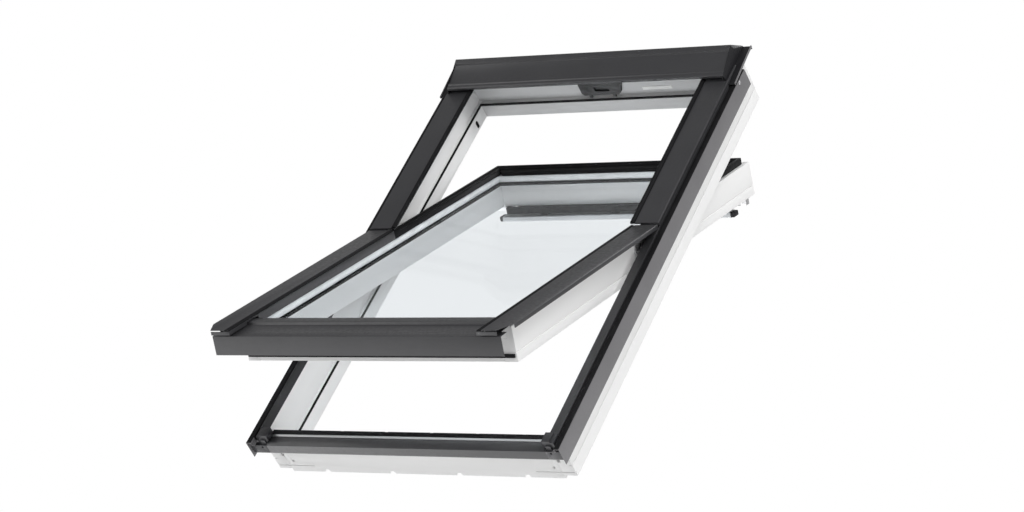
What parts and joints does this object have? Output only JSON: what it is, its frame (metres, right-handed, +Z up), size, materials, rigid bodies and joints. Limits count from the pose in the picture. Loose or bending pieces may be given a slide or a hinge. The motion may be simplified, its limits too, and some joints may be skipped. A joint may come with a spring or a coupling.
{
  "type": "roof window with frame",
  "caption": "Centre-pivot roof skylight in its frame: white lacquered wood, dark grey metal covers, sash tilted half open.",
  "frame": {"origin": "middle of the frame's lower end face, on the window's centre line", "axes": "+X across the window, +Y level into the building, +Z up; the frame leans back at the roof pitch"},
  "size_m": [0.8164, 1.171, 0.9805],
  "materials": {
    "white_lacquer": "satin white lacquer over wood",
    "dark_grey_sheet": "fine matt powder coat",
    "mid_grey_sheet": "fine matt powder coat",
    "black_rubber": "matt",
    "clear_glass": "clear",
    "bare_aluminium": "satin",
    "black_plastic": "matt moulded",
    "pale_plastic": "matt",
    "black_metal": "semi-matt",
    "zinc_steel": "bright zinc plated"
  },
  "bodies": {
    "frame": {"blank_plate": "pale_plastic", "bolt_bushes": "black_plastic", "bottom_cover": "dark_grey_sheet", "bottom_gasket": "black_rubber", "bottom_gutter": "bare_aluminium", "casing_edges": "mid_grey_sheet", "casing_end_left": "black_plastic", "casing_end_right": "black_plastic", "casing_rail": "zinc_steel", "channel_seals": "black_rubber", "corner_piece_left": "black_plastic", "corner_piece_right": "black_plastic", "cover_seals": "black_rubber", "frame_bottom_rail": "white_lacquer", "frame_gasket": "black_rubber", "frame_hinge_left": "zinc_steel", "frame_hinge_right": "zinc_steel", "frame_left_stile": "white_lacquer", "frame_right_stile": "white_lacquer", "frame_screws": "zinc_steel", "frame_top_rail": "white_lacquer", "friction_disc_left": "black_plastic", "friction_disc_right": "black_plastic", "side_cladding_left": "mid_grey_sheet", "side_cladding_right": "mid_grey_sheet", "side_gutter_left": "dark_grey_sheet", "side_gutter_right": "dark_grey_sheet", "striker_plate": "black_metal", "top_casing": "dark_grey_sheet", "upper_cover_left": "dark_grey_sheet", "upper_cover_right": "dark_grey_sheet"},
    "sash": {"air_filter": "pale_plastic", "bolt_guides": "zinc_steel", "flap_brackets": "black_plastic", "glass_seal": "black_rubber", "glass_spacer": "bare_aluminium", "glazing_profile_left": "black_rubber", "glazing_profile_right": "black_rubber", "glazing_profile_top": "black_rubber", "hinge_screws": "zinc_steel", "inner_pane": "clear_glass", "lock_case": "zinc_steel", "outer_pane": "clear_glass", "sash_bottom_rail": "white_lacquer", "sash_bottom_seal": "black_rubber", "sash_cover_bottom": "dark_grey_sheet", "sash_cover_clips": "zinc_steel", "sash_cover_left": "dark_grey_sheet", "sash_cover_right": "dark_grey_sheet", "sash_cover_seals": "black_rubber", "sash_hinge_left": "zinc_steel", "sash_hinge_right": "zinc_steel", "sash_left_stile": "white_lacquer", "sash_right_stile": "white_lacquer", "sash_top_rail": "white_lacquer"},
    "flap": {"vent_flap": "black_plastic", "control_bar": "bare_aluminium", "bar_end_caps": "black_plastic"},
    "bolt_left": {"barrel_bolt_left": "zinc_steel"},
    "bolt_right": {"barrel_bolt_right": "zinc_steel"}
  },
  "joints": [
    {"name": "sash_pivot", "type": "hinge", "parent": "frame", "child": "sash", "pos_m": [0, 0.37654, 0.5094], "axis": [-1, 0, 0], "range_deg": [-25.6, 29.4]},
    {"name": "flap_turn", "type": "hinge", "parent": "sash", "child": "flap", "pos_m": [0, 0.85331, 0.57575], "axis": [-1, 0, 0], "range_deg": [0, 25]},
    {"name": "bolt_left_slide", "type": "slide", "parent": "sash", "child": "bolt_left", "axis": [-1, 0, 0], "range_m": [0, 0.013]},
    {"name": "bolt_right_slide", "type": "slide", "parent": "sash", "child": "bolt_right", "axis": [1, 0, 0], "range_m": [0, 0.013]}
  ]
}
